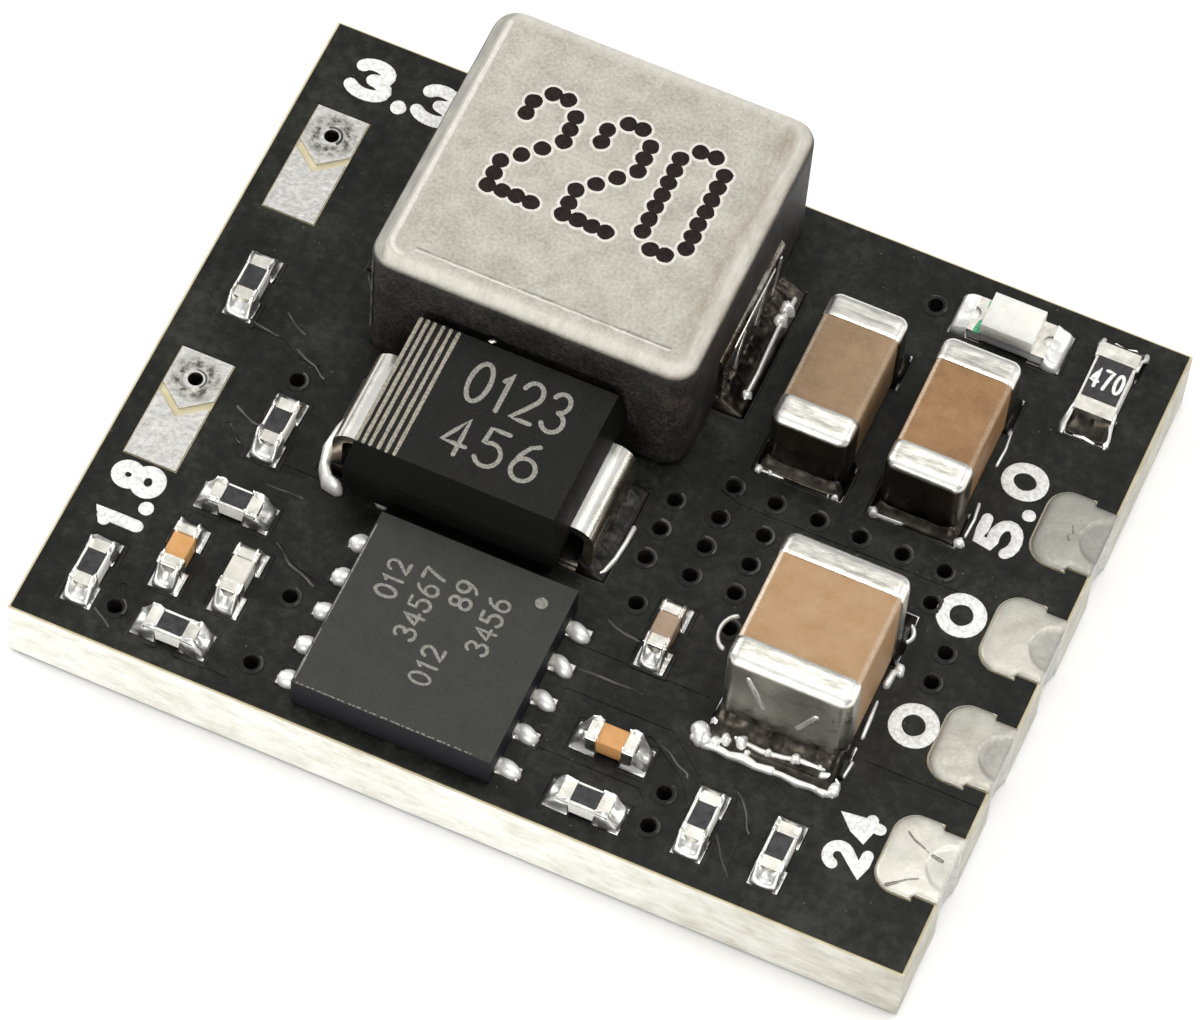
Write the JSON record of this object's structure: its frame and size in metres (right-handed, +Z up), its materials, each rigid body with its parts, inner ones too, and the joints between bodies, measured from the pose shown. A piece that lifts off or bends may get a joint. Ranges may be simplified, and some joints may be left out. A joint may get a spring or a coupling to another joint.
{
  "type": "buck converter module",
  "caption": "Small step-down converter board with castellated edge pads, a moulded power inductor, a bent-lead diode, a square controller and chip parts.",
  "frame": {"origin": "centre of the board's bottom face, on the bottom of the bounding box", "axes": "+X along the board's length to the edge with the four castellated pads, +Z up out of the component side"},
  "size_m": [0.018, 0.0146, 0.0048],
  "materials": {
    "laminate": "matte",
    "mask": "satin",
    "pad_finish": "satin",
    "copper_land": "satin",
    "solder": "polished",
    "ferrite": "matte",
    "winding_wire": "satin",
    "tinned_lead": "satin",
    "epoxy": "matte",
    "controller_epoxy": "matte",
    "silicon": "satin",
    "ceramic_tan": "satin",
    "ceramic_grey": "satin",
    "ceramic_orange": "satin",
    "ceramic_pale": "satin",
    "alumina": "matte",
    "resistor_coat": "satin",
    "end_metal": "satin",
    "led_plastic": "satin"
  },
  "bodies": {
    "root": {"board_laminate": "laminate", "solder_mask_top": "mask", "solder_mask_bottom": "mask", "via_barrels": "pad_finish", "input_pad": "pad_finish", "ground_pad_front": "pad_finish", "ground_pad_rear": "pad_finish", "output_pad": "pad_finish", "edge_pad_solder": "solder", "selector_front": "pad_finish", "selector_rear": "pad_finish", "component_lands": "copper_land", "solder_joints": "solder", "inductor_body": "ferrite", "inductor_winding": "winding_wire", "inductor_terminals": "tinned_lead", "diode_body": "epoxy", "diode_cathode_lead": "tinned_lead", "diode_anode_lead": "tinned_lead", "diode_die": "silicon", "controller_body": "controller_epoxy", "controller_leads": "tinned_lead", "controller_thermal_pad": "tinned_lead", "controller_die": "silicon", "input_capacitor_body": "ceramic_tan", "input_capacitor_caps": "end_metal", "output_capacitor_1_body": "ceramic_grey", "output_capacitor_1_caps": "end_metal", "output_capacitor_2_body": "ceramic_orange", "output_capacitor_2_caps": "end_metal", "small_capacitor_1_body": "ceramic_orange", "small_capacitor_2_body": "ceramic_pale", "small_capacitor_3_body": "ceramic_grey", "small_capacitor_4_body": "ceramic_orange", "small_capacitor_caps": "end_metal", "resistor_1_body": "alumina", "resistor_2_body": "alumina", "resistor_3_body": "alumina", "resistor_4_body": "alumina", "resistor_5_body": "alumina", "resistor_6_body": "alumina", "resistor_7_body": "alumina", "resistor_8_body": "alumina", "resistor_caps": "end_metal", "resistor_coats": "resistor_coat", "led_carrier": "led_plastic", "led_contacts": "end_metal", "led_lens": "led_plastic", "led_resistor_body": "alumina", "led_resistor_caps": "end_metal", "led_resistor_coat": "resistor_coat"}
  },
  "joints": []
}
